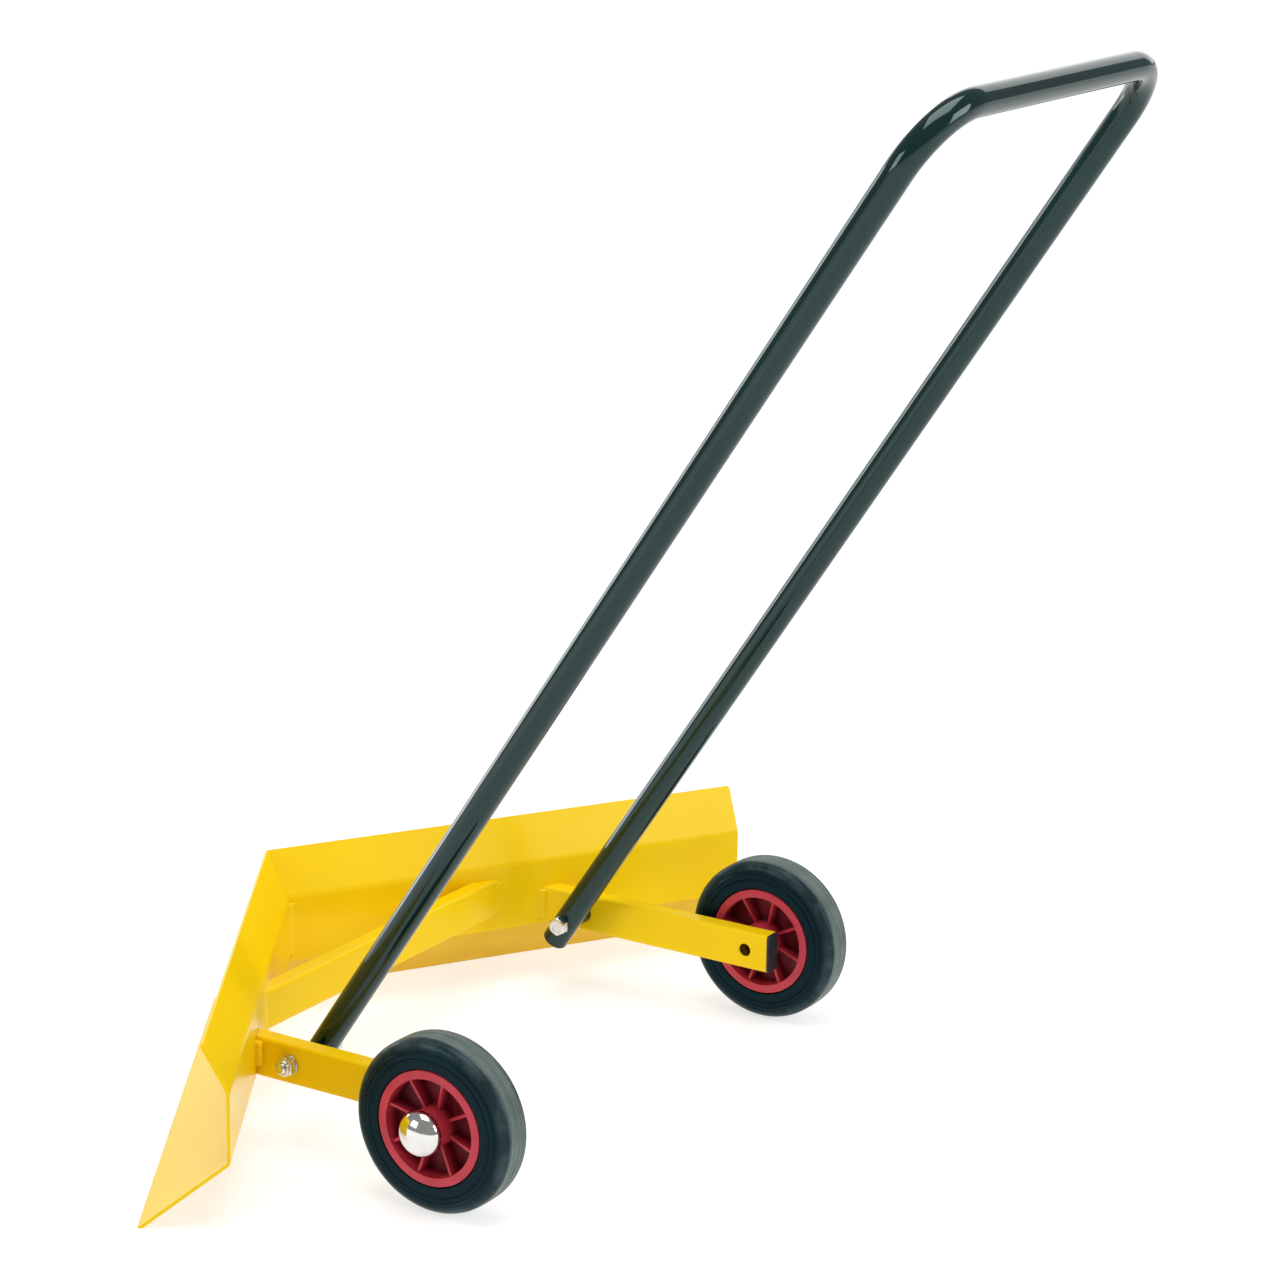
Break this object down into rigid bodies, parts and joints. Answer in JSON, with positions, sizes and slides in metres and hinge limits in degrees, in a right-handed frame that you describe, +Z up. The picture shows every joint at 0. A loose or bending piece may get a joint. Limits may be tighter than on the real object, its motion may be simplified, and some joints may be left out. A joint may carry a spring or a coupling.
{
  "type": "push-along V-blade nail sweeper",
  "caption": "Two-wheeled push sweeper: folded V-shaped steel blade that rides on the ground, cross brace, wheel arms and a tubular U handle that folds on bolts.",
  "frame": {"origin": "centre of the footprint's bounding box, on the floor that the blade's edge and both tyres stand on", "axes": "+Z up, -Y forward over the blade's nose, +Y back towards the user, +X to the user's left along the grip bar"},
  "size_m": [0.9264, 0.8946, 0.9916],
  "materials": {
    "yellow_paint": "gloss powder coat",
    "black_paint": "gloss powder coat",
    "red_plastic": "moulded, semi-gloss",
    "tyre": "solid rubber, satin",
    "zinc": "bright zinc plate",
    "chrome": "polished",
    "black_plastic": "moulded, satin",
    "nylon": "moulded, satin"
  },
  "bodies": {
    "frame": {"left_blade": "yellow_paint", "right_blade": "yellow_paint", "nose_weld": "yellow_paint", "cross_brace": "yellow_paint", "brace_welds": "yellow_paint", "left_arm": "yellow_paint", "right_arm": "yellow_paint", "left_arm_weld": "yellow_paint", "right_arm_weld": "yellow_paint", "left_arm_cap": "black_plastic", "right_arm_cap": "black_plastic", "left_axle": "zinc", "right_axle": "zinc", "left_inner_washer": "zinc", "right_inner_washer": "zinc", "left_outer_washer": "zinc", "right_outer_washer": "zinc", "left_axle_cap": "chrome", "right_axle_cap": "chrome", "left_pivot_bolt": "zinc", "right_pivot_bolt": "zinc", "left_pivot_spacer": "black_paint", "right_pivot_spacer": "black_paint", "left_pivot_washer": "zinc", "right_pivot_washer": "zinc", "left_pivot_nut": "zinc", "right_pivot_nut": "zinc"},
    "left_wheel": {"left_rim": "red_plastic", "left_tyre": "tyre", "left_inner_bush": "nylon", "left_outer_bush": "nylon"},
    "right_wheel": {"right_rim": "red_plastic", "right_tyre": "tyre", "right_inner_bush": "nylon", "right_outer_bush": "nylon"},
    "handle": {"handle_tube": "black_paint", "left_handle_plug": "black_plastic", "right_handle_plug": "black_plastic"}
  },
  "joints": [
    {"name": "left_wheel_spin", "type": "hinge", "parent": "frame", "child": "left_wheel", "pos_m": [0.2805, 0.02712, 0.08], "axis": [1, 0, 0], "continuous": true},
    {"name": "right_wheel_spin", "type": "hinge", "parent": "frame", "child": "right_wheel", "pos_m": [-0.2805, 0.02712, 0.08], "axis": [1, 0, 0], "continuous": true},
    {"name": "handle_fold", "type": "hinge", "parent": "frame", "child": "handle", "pos_m": [0, -0.16038, 0.08], "axis": [1, 0, 0], "range_deg": [-60, 72]}
  ]
}
